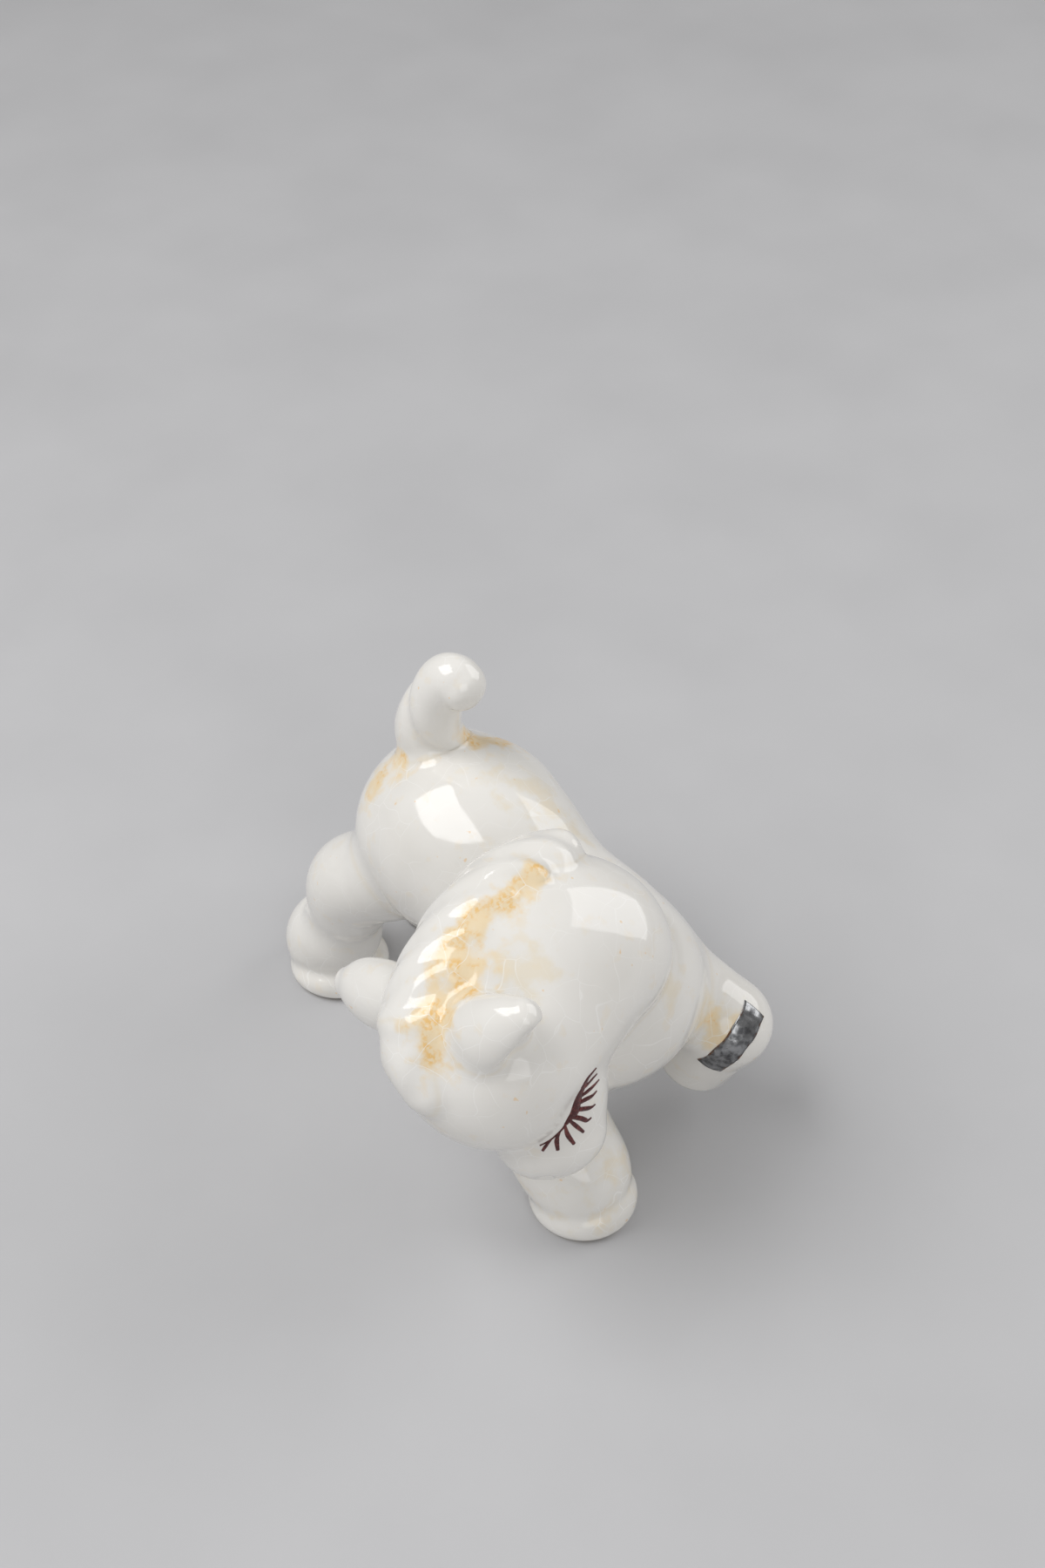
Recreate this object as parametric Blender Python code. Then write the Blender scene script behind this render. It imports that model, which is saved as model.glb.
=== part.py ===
"""Ceramic foal figurine: slip castings stuck together with slip, glazed, with a blank foil label."""

import math

import bmesh
import bpy
import numpy as np
from mathutils import Matrix, Vector

for old in list(bpy.data.objects):
    bpy.data.objects.remove(old)

# Sizes are metres. The foal looks along -Y, its left is +X, and it stands on Z = 0.
# Castings
WALL = 0.0032
SLIP_GAP = 0.0003
VENT_RADIUS = 0.0022

# Trunk
RUMP_RADIUS = 0.0226
WAIST_RADIUS = 0.0202
CHEST_RADIUS = 0.0221
RUMP_HEIGHT = 0.0556
CHEST_HEIGHT = 0.0447
TRUNK_REACH = 0.0480

# Legs
STANCE = 0.0160
LEG_RADIUS = 0.0105
HOOF_RADIUS = 0.0118
HOOF_HEIGHT = 0.0062
KNEE_RADIUS = 0.0096

# Head: turned to the foal's right, its left cheek rolled up
HEAD_ORIGIN = Vector((-0.0024, -0.0510, 0.0646))
HEAD_ROLL = math.radians(32.0)
SKULL_RADIUS = 0.0212
NECK_RADII = (0.0175, 0.0203, 0.0290)
NAPE_RADIUS = 0.0140
MUZZLE_RADIUS = 0.0115
NOSTRIL_PLACE = (0.0352, -0.0353)
NOSTRIL_SPREAD = 0.0046
NOSTRIL_RADIUS = 0.0016
EAR_REACH = 0.0160
MANE_WIDTH = 0.0086
MANE_HEIGHT = 0.0042
LOCK_SWELL = 0.12

# Tail and label
TAIL_RADIUS = 0.0070
TAIL_RISE = 0.0270
TAIL_TWIST = -2.8
LABEL_WIDTH = 0.0046
LABEL_THICKNESS = 0.0003

# The middle of the whole figure's outline stands on the origin
FIGURE_SHIFT = Vector((0.0125, 0.0189, 0.0))

RIGHT = Vector((-1.0, 0.0, 0.0))
HEAD_LEFT = Vector((0.0, -math.cos(HEAD_ROLL), math.sin(HEAD_ROLL)))
HEAD_UP = Vector((0.0, math.sin(HEAD_ROLL), math.cos(HEAD_ROLL)))

figure = bpy.data.collections.new("ceramic_foal")
cutters = bpy.data.collections.new("cutters")
for collection in (figure, cutters):
    bpy.context.scene.collection.children.link(collection)
stand = bpy.data.objects.new("figure_origin", None)
stand.location = FIGURE_SHIFT
figure.objects.link(stand)


def add_object(name, mesh, collection):
    """Put a mesh in a collection under the figure's origin; a cutter is drawn as wire."""
    mesh.shade_smooth()
    made = bpy.data.objects.new(name, mesh)
    made.parent = stand
    collection.objects.link(made)
    if collection is cutters:
        made.hide_render = True
        made.display_type = "WIRE"
    return made


def smooth_rows(rows, steps):
    """Rows of a smooth curve that passes through every given row."""
    rows = np.array(rows, float)
    ends = np.vstack([2 * rows[0] - rows[1], rows, 2 * rows[-1] - rows[-2]])
    curve = []
    for before, start, end, after in zip(ends, ends[1:], ends[2:], ends[3:]):
        for step in range(steps):
            t = step / steps
            bend = 2 * before - 5 * start + 4 * end - after
            twist = 3 * start - before - 3 * end + after
            curve.append(0.5 * (2 * start + (end - before) * t + bend * t * t + twist * t ** 3))
    curve.append(rows[-1])
    return np.array(curve)


def loft(name, stations, side, collection, caps=(0.0, 0.0), grow=0.0, ring=24, steps=3, cap_rings=4):
    """Skin oval sections along a path. A station is x, y, z, half width, half depth and turn.

    The width lies along `side`. A cap is a rounded end of that length; `grow` offsets the skin.
    """
    rows = smooth_rows([tuple(s) + (0.0,) * (6 - len(s)) for s in stations], steps)
    rows[:, 3:5] += grow
    points = rows[:, :3]
    ways = np.gradient(points, axis=0)
    ways /= np.linalg.norm(ways, axis=1)[:, None]
    sections = [(p, w, r[3], r[4], r[5]) for p, w, r in zip(points, ways, rows)]
    for end, sign in ((0, -1.0), (-1, 1.0)):
        if caps[end] <= 0.0:
            continue
        centre, way, wide, deep, turn = sections[end]
        for k in range(1, cap_rings + 1):
            angle = 0.5 * math.pi * 0.97 * k / cap_rings
            reach = (caps[end] + grow) * math.sin(angle)
            cap = (centre + way * sign * reach, way, wide * math.cos(angle), deep * math.cos(angle), turn)
            if end == 0:
                sections.insert(0, cap)
            else:
                sections.append(cap)
    bm = bmesh.new()
    last = None
    loops = []
    for centre, way, wide, deep, turn in sections:
        way = Vector(way)
        across = (Vector(side) - way * way.dot(Vector(side))).normalized()
        across = Matrix.Rotation(turn, 3, way) @ across
        over = way.cross(across)
        place = Matrix((across * wide, over * deep, way)).transposed().to_4x4()
        place.translation = Vector(centre)
        made = bmesh.ops.create_circle(bm, segments=ring, radius=1.0, matrix=place)
        edges = list({edge for vert in made["verts"] for edge in vert.link_edges})
        loops.append(edges)
        if last is not None:
            bmesh.ops.bridge_loops(bm, edges=last + edges)
        last = edges
    bmesh.ops.contextual_create(bm, geom=loops[0])
    bmesh.ops.contextual_create(bm, geom=loops[-1])
    bmesh.ops.recalc_face_normals(bm, faces=bm.faces)
    mesh = bpy.data.meshes.new(name)
    bm.to_mesh(mesh)
    bm.free()
    return add_object(name, mesh, collection)


def ball(name, centre, radii, axes, collection, grow=0.0, segments=36, rings=20):
    """An ellipsoid on three axes."""
    sizes = [radius + grow for radius in radii]
    place = Matrix([axis * size for axis, size in zip(axes, sizes)]).transposed().to_4x4()
    place.translation = centre
    bm = bmesh.new()
    bmesh.ops.create_uvsphere(bm, u_segments=segments, v_segments=rings, radius=1.0, matrix=place)
    bmesh.ops.recalc_face_normals(bm, faces=bm.faces)
    mesh = bpy.data.meshes.new(name)
    bm.to_mesh(mesh)
    bm.free()
    return add_object(name, mesh, collection)


def dome(name, balls, axes, collection, grow=0.0, segments=32, rings=18):
    """A smooth skin stretched over several ellipsoids on the same three axes."""
    points = []
    for centre, radii in balls:
        place = Matrix([axis * (size + grow) for axis, size in zip(axes, radii)]).transposed().to_4x4()
        place.translation = centre
        for ring in range(rings + 1):
            tilt = math.pi * ring / rings
            around = segments if 0 < ring < rings else 1
            for step in range(around):
                turn = 2.0 * math.pi * step / around
                way = (math.sin(tilt) * math.cos(turn), math.sin(tilt) * math.sin(turn), math.cos(tilt))
                points.append(place @ Vector(way))
    bm = bmesh.new()
    for point in points:
        bm.verts.new(point)
    skin = bmesh.ops.convex_hull(bm, input=bm.verts)
    inside = [part for part in skin["geom_interior"] if isinstance(part, bmesh.types.BMVert)]
    bmesh.ops.delete(bm, geom=inside, context="VERTS")
    bmesh.ops.recalc_face_normals(bm, faces=bm.faces)
    mesh = bpy.data.meshes.new(name)
    bm.to_mesh(mesh)
    bm.free()
    return add_object(name, mesh, collection)


def box(name, centre, sizes, axes, collection):
    """A block on three axes, used to trim other solids."""
    place = Matrix([axis * size for axis, size in zip(axes, sizes)]).transposed().to_4x4()
    place.translation = centre
    bm = bmesh.new()
    bmesh.ops.create_cube(bm, size=1.0, matrix=place)
    bmesh.ops.recalc_face_normals(bm, faces=bm.faces)
    mesh = bpy.data.meshes.new(name)
    bm.to_mesh(mesh)
    bm.free()
    return add_object(name, mesh, collection)


def shape_with(target, operation, *tools):
    """Join, cut or trim a solid with others."""
    for tool in tools:
        step = target.modifiers.new(operation.lower() + "_" + tool.name, "BOOLEAN")
        step.operation = operation
        step.object = tool


def glaze(part, colour, roughness, metallic=0.0):
    """Give a part its own material."""
    material = bpy.data.materials.new(part.name + "_material")
    material.use_nodes = True
    shader = material.node_tree.nodes["Principled BSDF"]
    shader.inputs["Base Color"].default_value = (*colour, 1.0)
    shader.inputs["Roughness"].default_value = roughness
    shader.inputs["Metallic"].default_value = metallic
    part.data.materials.append(material)


WHITE_GLAZE = (0.80, 0.79, 0.75)
SHADED_GLAZE = (0.74, 0.72, 0.67)
FOIL = (0.36, 0.37, 0.39)
GLOSS = 0.10
GROUND_AXES = (Vector((1, 0, 0)), Vector((0, 1, 0)), Vector((0, 0, 1)))
ground = box("ground", Vector((0, 0, -0.02)), (0.3, 0.3, 0.04), GROUND_AXES, cutters)

# The trunk is one hollow casting: a round rump, a waist and a deep chest, with a vent under the belly.
trunk = [
    (0, 0.0030, RUMP_HEIGHT - 0.0008, RUMP_RADIUS * 0.95, RUMP_RADIUS * 0.95),
    (0, -0.0040, RUMP_HEIGHT, RUMP_RADIUS, RUMP_RADIUS),
    (0, -0.0130, RUMP_HEIGHT - 0.0012, RUMP_RADIUS * 0.93, RUMP_RADIUS * 0.94),
    (0, -0.0240, 0.5 * (RUMP_HEIGHT + CHEST_HEIGHT), WAIST_RADIUS, WAIST_RADIUS),
    (0, -0.0370, CHEST_HEIGHT + 0.0020, CHEST_RADIUS, CHEST_RADIUS),
    (0, -TRUNK_REACH, CHEST_HEIGHT, CHEST_RADIUS, CHEST_RADIUS),
]
TRUNK_CAPS = (0.0195, 0.0200)
SIDE = Vector((1, 0, 0))
body = loft("body_casting", trunk, SIDE, figure, TRUNK_CAPS, ring=32, steps=2, cap_rings=5)
body_hollow = loft("body_hollow", trunk, SIDE, cutters, TRUNK_CAPS, -WALL, ring=14, steps=1, cap_rings=3)
body_skin = loft("body_skin", trunk, SIDE, cutters, TRUNK_CAPS, SLIP_GAP, ring=32, steps=2, cap_rings=5)
vent_path = [(0, -0.0240, 0.020, VENT_RADIUS, VENT_RADIUS), (0, -0.0240, 0.045, VENT_RADIUS, VENT_RADIUS)]
vent = loft("vent", vent_path, SIDE, cutters, ring=12, steps=1)
shape_with(body, "DIFFERENCE", body_hollow, vent)
glaze(body, WHITE_GLAZE, GLOSS)


def head_point(right, up, left=0.0):
    """A place in the head's own axes: foal's right, head's up, head's left."""
    return HEAD_ORIGIN + RIGHT * right + HEAD_UP * up + HEAD_LEFT * left


def head_station(right, up, wide, deep, left=0.0, turn=0.0):
    """A loft station in the head's own axes."""
    return (*head_point(right, up, left), wide, deep, turn)


# Neck, skull and muzzle are one hollow casting. The skull overhangs the muzzle, and that edge is the
# closed lid of each eye.
HEAD_AXES = (HEAD_LEFT, HEAD_UP, RIGHT)
NECK_BALL = (head_point(0.0190, 0.0035), NECK_RADII)
SKULL_BALL = (head_point(0.0322, -0.0060), (SKULL_RADIUS, SKULL_RADIUS, SKULL_RADIUS * 0.95))
NAPE_BALLS = (
    (head_point(0.0150, 0.0035), (0.0155, 0.0180, 0.0190)),
    (head_point(0.0042, -0.0012, 0.0025), (NAPE_RADIUS, NAPE_RADIUS, NAPE_RADIUS)),
)
muzzle = [
    head_station(0.0260, -0.0080, MUZZLE_RADIUS * 1.48, MUZZLE_RADIUS * 1.48),
    head_station(0.0270, -0.0200, MUZZLE_RADIUS * 1.26, MUZZLE_RADIUS * 1.22),
    head_station(0.0280, -0.0290, MUZZLE_RADIUS, MUZZLE_RADIUS),
]
MUZZLE_CAPS = (0.006, 0.009)


def head_solids(label, grow, ring, steps, segments, rings):
    """The three forms of the head, offset by `grow`."""
    return (
        dome("skull_" + label, (NECK_BALL, SKULL_BALL), HEAD_AXES, cutters, grow, segments, rings),
        dome("nape_" + label, NAPE_BALLS, HEAD_AXES, cutters, grow, segments, rings),
        loft("muzzle_" + label, muzzle, HEAD_LEFT, cutters, MUZZLE_CAPS, grow, ring, steps),
    )


head = dome("head_neck_casting", (NECK_BALL, SKULL_BALL), HEAD_AXES, figure)
nape_form = dome("nape_form", NAPE_BALLS, HEAD_AXES, cutters)
muzzle_form = loft("muzzle_form", muzzle, HEAD_LEFT, cutters, MUZZLE_CAPS, ring=28)
head_skins = head_solids("skin", SLIP_GAP, 28, 3, 32, 18)
head_hollows = head_solids("hollow", -WALL, 12, 1, 14, 8)
shape_with(head, "UNION", nape_form, muzzle_form)
shape_with(head, "DIFFERENCE", *head_hollows, body_skin)
for side_name, sign in (("left", 1.0), ("right", -1.0)):
    nostril_centre = head_point(*NOSTRIL_PLACE, sign * NOSTRIL_SPREAD)
    nostril_radii = (NOSTRIL_RADIUS, NOSTRIL_RADIUS * 1.4, NOSTRIL_RADIUS)
    nostril = ball(side_name + "_nostril", nostril_centre, nostril_radii, HEAD_AXES, cutters, 0.0, 12, 8)
    shape_with(head, "DIFFERENCE", nostril)
glaze(head, WHITE_GLAZE, GLOSS)

# The mane is a roll of clay pressed along the crest, swelling into one lock after another.
crest = ((0.0000, 0.0195), (0.0090, 0.0230), (0.0180, 0.0238), (0.0270, 0.0217),
         (0.0350, 0.0180), (0.0422, 0.0135), (0.0475, 0.0085))
mane_stations = []
for index, (right, up) in enumerate(smooth_rows(crest, 2)):
    lock = LOCK_SWELL * (-1) ** index
    wide = MANE_WIDTH * min(1.0, 0.70 + 0.10 * index)
    high = MANE_HEIGHT * (1.0 + 0.8 * lock)
    mane_stations.append(head_station(right, up, wide * (1.0 + lock), high))
MANE_CAPS = (0.003, 0.004)
mane = loft("mane_strip", mane_stations, HEAD_LEFT, figure, MANE_CAPS, ring=16, steps=2)
mane_skin = loft("mane_skin", mane_stations, HEAD_LEFT, cutters, MANE_CAPS, SLIP_GAP, ring=16, steps=2)
shape_with(mane, "DIFFERENCE", *head_skins, body_skin)
glaze(mane, WHITE_GLAZE, GLOSS)

# The forelock carries the mane on between the ears and down the brow.
forelock_stations = [
    head_station(0.0500, 0.0050, MANE_WIDTH * 0.95, MANE_HEIGHT),
    head_station(0.0516, -0.0004, MANE_WIDTH * 0.90, MANE_HEIGHT, 0.0008),
    head_station(0.0511, -0.0059, MANE_WIDTH * 0.68, MANE_HEIGHT * 0.82, 0.0024),
]
forelock = loft("forelock", forelock_stations, HEAD_LEFT, figure, (0.002, 0.004), ring=16, steps=3)
shape_with(forelock, "DIFFERENCE", *head_skins, mane_skin)
glaze(forelock, WHITE_GLAZE, GLOSS)

# Leaf ears stand out sideways from the poll and end in a blunt tip; the left one hangs lower.
EAR_POSES = (("left_ear", 1.0, 0.0412, 0.0020, -0.0035), ("right_ear", -1.0, 0.0415, 0.0060, 0.0020))
for name, sign, right, up, lean in EAR_POSES:
    ear_stations = [
        head_station(right, up, 0.0070, 0.0058, sign * 0.0100),
        head_station(right + 0.2 * lean, up + 0.0015, 0.0080, 0.0064, sign * (0.0100 + 0.4 * EAR_REACH)),
        head_station(right + 0.7 * lean, up + 0.0035, 0.0062, 0.0050, sign * (0.0100 + 0.8 * EAR_REACH)),
        head_station(right + 1.2 * lean, up + 0.0045, 0.0036, 0.0030, sign * (0.0100 + 1.1 * EAR_REACH)),
    ]
    ear = loft(name, ear_stations, HEAD_UP, figure, (0.002, 0.0022), ring=18, steps=3)
    shape_with(ear, "DIFFERENCE", *head_skins, mane_skin)
    glaze(ear, WHITE_GLAZE, GLOSS)

# The tail is a twisted curl that rises from the rump and nods forward at its tip.
tail_stations = [
    (0.0005, 0.0070, 0.0720, TAIL_RADIUS * 1.05, TAIL_RADIUS * 0.95, 0.0),
    (-0.0012, 0.0080, 0.0720 + 0.33 * TAIL_RISE, TAIL_RADIUS * 1.15, TAIL_RADIUS * 0.90, 0.3 * TAIL_TWIST),
    (-0.0004, 0.0052, 0.0720 + 0.68 * TAIL_RISE, TAIL_RADIUS * 0.98, TAIL_RADIUS * 0.78, 0.7 * TAIL_TWIST),
    (0.0004, 0.0014, 0.0720 + 0.92 * TAIL_RISE, TAIL_RADIUS * 0.90, TAIL_RADIUS * 0.74, 1.05 * TAIL_TWIST),
    (0.0008, -0.0022, 0.0720 + 0.91 * TAIL_RISE, TAIL_RADIUS * 0.74, TAIL_RADIUS * 0.68, 1.25 * TAIL_TWIST),
]
tail = loft("tail", tail_stations, SIDE, figure, (0.003, 0.004), ring=20, steps=3)
shape_with(tail, "DIFFERENCE", body_skin)
glaze(tail, WHITE_GLAZE, GLOSS)


def hoof_stations(x, y):
    """A coronet groove, then a hoof that rounds under to a flat sole below the ground plane."""
    return [
        (x, y + 0.0022, HOOF_HEIGHT + 0.0035, LEG_RADIUS * 1.02, LEG_RADIUS * 1.02),
        (x, y + 0.0010, HOOF_HEIGHT, LEG_RADIUS * 0.97, LEG_RADIUS * 0.97),
        (x, y, HOOF_HEIGHT * 0.62, HOOF_RADIUS, HOOF_RADIUS),
        (x, y, HOOF_HEIGHT * 0.20, HOOF_RADIUS * 0.97, HOOF_RADIUS * 0.97),
        (x, y, -0.0012, HOOF_RADIUS * 0.78, HOOF_RADIUS * 0.78),
    ]


def hollow_leg(name, stations, bored, caps=(0.009, 0.0), joined=()):
    """A leg cut to the trunk, with a bore that opens into the joint."""
    leg = loft(name, stations, SIDE, figure, caps, ring=22, steps=2)
    path = stations[:bored]
    bore_caps = (caps[0], 0.005)
    bore = loft(name + "_bore", path, SIDE, cutters, bore_caps, -WALL, ring=10, steps=1, cap_rings=2)
    shape_with(leg, "UNION", *joined)
    shape_with(leg, "DIFFERENCE", bore, body_skin)
    glaze(leg, SHADED_GLAZE, GLOSS)
    return leg


# The planted foreleg leans forward from the chest to its hoof.
right_fore = [
    (-STANCE, -0.0380, 0.0450, LEG_RADIUS * 0.95, LEG_RADIUS * 0.95),
    (-STANCE - 0.0005, -0.0480, 0.0270, LEG_RADIUS, LEG_RADIUS),
    (-STANCE - 0.0005, -0.0545, 0.0150, LEG_RADIUS * 1.05, LEG_RADIUS * 1.05),
] + hoof_stations(-STANCE - 0.0005, -0.0612)
right_foreleg = hollow_leg("right_foreleg", right_fore, 3)
shape_with(right_foreleg, "DIFFERENCE", ground, *head_skins)

# Each hind leg swings back from the haunch to a hock, pinches in, and comes down to its hoof.
for name, sign in (("right_hind_leg", -1.0), ("left_hind_leg", 1.0)):
    hind = [
        (sign * (STANCE - 0.0030), 0.0100, 0.0420, LEG_RADIUS, LEG_RADIUS),
        (sign * (STANCE - 0.0010), 0.0185, 0.0350, LEG_RADIUS * 1.04, LEG_RADIUS * 1.04),
        (sign * (STANCE - 0.0005), 0.0215, 0.0270, LEG_RADIUS * 0.95, LEG_RADIUS * 0.95),
        (sign * STANCE, 0.0235, 0.0210, LEG_RADIUS * 0.83, LEG_RADIUS * 0.83),
        (sign * STANCE, 0.0255, 0.0145, LEG_RADIUS * 0.96, LEG_RADIUS * 0.96),
    ] + hoof_stations(sign * STANCE, 0.0270)
    hind_leg = hollow_leg(name, hind, 3)
    shape_with(hind_leg, "DIFFERENCE", ground)

# The other foreleg is lifted: the forearm reaches forward and the shank folds back under the knee.
forearm = [
    (0.0120, -0.0440, 0.0450, KNEE_RADIUS * 1.03, KNEE_RADIUS * 1.03),
    (0.0180, -0.0530, 0.0369, KNEE_RADIUS, KNEE_RADIUS),
    (0.0233, -0.0617, 0.0292, KNEE_RADIUS, KNEE_RADIUS),
]
shank = [
    (0.0233, -0.0613, 0.0288, KNEE_RADIUS * 0.99, KNEE_RADIUS * 0.99),
    (0.0226, -0.0580, 0.0210, KNEE_RADIUS * 0.98, KNEE_RADIUS * 0.98),
    (0.0218, -0.0542, 0.0132, KNEE_RADIUS * 0.98, KNEE_RADIUS * 0.98),
]
FOREARM_CAPS = (0.006, 0.0100)
SHANK_CAPS = (0.0088, 0.0)
shank_form = loft("shank_form", shank, SIDE, cutters, SHANK_CAPS, ring=22, steps=2)
left_foreleg = hollow_leg("left_foreleg", forearm, 3, FOREARM_CAPS, (shank_form,))

# The label is a strip of foil round the outer half of the forearm, just above the knee.
label_way = (Vector(forearm[2][:3]) - Vector(forearm[0][:3])).normalized()
label_across = label_way.cross(Vector((0, 0, 1))).normalized()
label_over = label_across.cross(label_way)
LABEL_AXES = (label_way, label_across, label_over)
label_centre = Vector(forearm[2][:3]) + label_way * 0.0010
label_outer_grow = SLIP_GAP + LABEL_THICKNESS
label = loft("foil_label", forearm, SIDE, figure, FOREARM_CAPS, label_outer_grow, ring=24, steps=3)
label_inner = loft("label_inner", forearm, SIDE, cutters, FOREARM_CAPS, SLIP_GAP, ring=24, steps=3)
reach_centre = label_centre + label_over * 0.012
label_reach = box("label_reach", reach_centre, (LABEL_WIDTH, 0.03, 0.03), LABEL_AXES, cutters)
shank_skin = loft("shank_skin", shank, SIDE, cutters, SHANK_CAPS, SLIP_GAP, ring=22, steps=2)
shape_with(label, "DIFFERENCE", label_inner, shank_skin)
shape_with(label, "INTERSECT", label_reach)
glaze(label, FOIL, 0.35, 0.9)
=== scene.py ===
"""White ceramic foal: slip-cast pieces stuck together, glazed, with painted lashes and a blank foil label."""

import math

import bmesh
import bpy
import numpy as np
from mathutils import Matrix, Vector
from mathutils.bvhtree import BVHTree
from mathutils.interpolate import poly_3d_calc


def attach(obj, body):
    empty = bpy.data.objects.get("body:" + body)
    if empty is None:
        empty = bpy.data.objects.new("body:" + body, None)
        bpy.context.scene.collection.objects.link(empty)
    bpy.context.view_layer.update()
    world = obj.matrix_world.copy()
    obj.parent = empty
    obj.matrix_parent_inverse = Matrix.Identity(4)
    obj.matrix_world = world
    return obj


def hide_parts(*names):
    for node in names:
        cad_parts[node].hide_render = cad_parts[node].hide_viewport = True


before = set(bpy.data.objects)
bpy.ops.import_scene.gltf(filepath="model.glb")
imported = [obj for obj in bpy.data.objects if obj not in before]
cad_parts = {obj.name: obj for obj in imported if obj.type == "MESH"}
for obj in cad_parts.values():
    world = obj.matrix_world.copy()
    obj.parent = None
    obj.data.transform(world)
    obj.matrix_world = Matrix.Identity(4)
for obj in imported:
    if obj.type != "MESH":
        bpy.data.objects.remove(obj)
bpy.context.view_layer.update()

# Trunk: a hollow slip casting in white earthenware, round at rump and chest and drawn in at the waist.
# It comes out of a two-part mould, is sponged smooth, and carries every other casting.
FIGURE_SHIFT = np.array((0.0125, 0.0189, 0.0))
SIDE = np.array((1.0, 0.0, 0.0))
RUMP_RADIUS = 0.0226
WAIST_RADIUS = 0.0202
CHEST_RADIUS = 0.0221
RUMP_HEIGHT = 0.0556
CHEST_HEIGHT = 0.0447
WAIST_HEIGHT = 0.5 * (RUMP_HEIGHT + CHEST_HEIGHT)
WAIST_Y = -0.0240
TRUNK_CAPS = (0.0195, 0.0200)
TRUNK_SOFTNESS = 0.0070
TRUNK_GRAIN = 0.00060
CAP_STEPS = 19
FLAT_END_SHARES = (0.97, 0.90, 0.75, 0.50, 0.25)
POLE_SHARE = 0.001
castings = {}


def disc(x, y, z, radius):
    """A round section of a roll."""
    return x, y, z, radius, radius


def smooth_rows(rows, steps):
    """Rows of a smooth curve that passes through every given row."""
    rows = np.array(rows, float)
    ends = np.vstack([2 * rows[0] - rows[1], rows, 2 * rows[-1] - rows[-2]])
    curve = []
    for before, start, end, after in zip(ends, ends[1:], ends[2:], ends[3:]):
        for step in range(steps):
            t = step / steps
            bend = 2 * before - 5 * start + 4 * end - after
            twist = 3 * start - before - 3 * end + after
            curve.append(0.5 * (2 * start + (end - before) * t + bend * t * t + twist * t ** 3))
    curve.append(rows[-1])
    return np.array(curve)


def full_turn(count):
    """Even angles round a circle."""
    return np.linspace(0.0, 2.0 * math.pi, count, endpoint=False)


def clay_roll(stations, side, caps=(0.0, 0.0), ring=96, steps=12):
    """Points and faces of a roll of clay: oval sections along a path, with rounded or flat ends."""
    rows = smooth_rows([tuple(s) + (0.0,) * (6 - len(s)) for s in stations], steps)
    rows[:, :3] += FIGURE_SHIFT
    ways = np.gradient(rows[:, :3], axis=0)
    ways /= np.linalg.norm(ways, axis=1)[:, None]
    sections = [(row[:3], way, row[3], row[4], row[5]) for row, way in zip(rows, ways)]
    for end, sign in ((0, -1.0), (-1, 1.0)):
        centre, way, wide, deep, turn = sections[end]
        if caps[end] > 0.0:
            angles = np.linspace(0.0, 0.5 * math.pi, CAP_STEPS)[1:-1]
            added = [(sign * caps[end] * math.sin(a), math.cos(a)) for a in angles]
        else:
            added = [(0.0, share) for share in FLAT_END_SHARES]
        for reach, share in added + [(sign * caps[end], POLE_SHARE)]:
            section = (centre + way * reach, way, wide * share, deep * share, turn)
            if end == 0:
                sections.insert(0, section)
            else:
                sections.append(section)
    theta = full_turn(ring)
    points = []
    for centre, way, wide, deep, turn in sections:
        across = side - way * way.dot(side)
        across /= np.linalg.norm(across)
        over = np.cross(way, across)
        first = across * math.cos(turn) + over * math.sin(turn)
        second = np.cross(way, first)
        ring_points = np.outer(np.cos(theta), first) * wide + np.outer(np.sin(theta), second) * deep
        points.append(centre + ring_points)
    points = np.vstack(points)
    faces = []
    for row in range(len(sections) - 1):
        for step in range(ring):
            here, there = row * ring, (row + 1) * ring
            nxt = (step + 1) % ring
            faces.append((here + step, here + nxt, there + nxt, there + step))
    faces.append(tuple(range(ring - 1, -1, -1)))
    faces.append(tuple(range((len(sections) - 1) * ring, len(sections) * ring)))
    return points, faces


def sponge(points, faces, rounds, damp=None):
    """Wipe the points smooth. `damp` gives each point's share of the wiping."""
    edges = np.array([(a, b) for face in faces for a, b in zip(face, face[1:] + face[:1])])
    edges = np.unique(np.sort(edges, axis=1), axis=0)
    here = np.concatenate([edges[:, 0], edges[:, 1]])
    there = np.concatenate([edges[:, 1], edges[:, 0]])
    count = np.bincount(here, minlength=len(points))
    share = 0.5 if damp is None else 0.5 * damp
    points = points.copy()
    for _ in range(rounds):
        for axis in range(3):
            total = np.bincount(here, points[there, axis], len(points))
            points[:, axis] += (total / count - points[:, axis]) * share
    return points


def worked_mesh(piece):
    """The mesh of an object with its modifiers worked in; the object itself goes away."""
    made = bpy.data.meshes.new_from_object(piece.evaluated_get(bpy.context.evaluated_depsgraph_get()))
    bpy.data.objects.remove(piece)
    return made


def mesh_parts(mesh):
    """Points and faces of a mesh."""
    return np.array([v.co for v in mesh.vertices]), [tuple(face.vertices) for face in mesh.polygons]


def set_out(name, data):
    """Put an object into the scene."""
    thing = bpy.data.objects.new(name, data)
    bpy.context.scene.collection.objects.link(thing)
    return thing


def wet_clay(name, points, faces):
    """A plain object of clay that can still be worked."""
    mesh = bpy.data.meshes.new(name)
    mesh.from_pydata([tuple(p) for p in points], [], faces)
    mesh.shade_smooth()
    return set_out(name, mesh)


def out_of_mould(points, faces, grain, rounds):
    """Points and faces of the same shape with an even skin, sponged smooth."""
    wet = wet_clay("wet_casting", points, faces)
    mould = wet.modifiers.new("mould", "REMESH")
    mould.mode = "VOXEL"
    mould.voxel_size = grain
    points, faces = mesh_parts(worked_mesh(wet))
    return sponge(points, faces, rounds), faces


def stick_on(name, node, points, faces, softness, grain):
    """Make a casting, put it on the figure's body, and let it stand for its plain solid."""
    piece = wet_clay(name, points, faces)
    castings[node] = (piece, softness, grain)
    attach(piece, "root")
    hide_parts(node)


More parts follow.
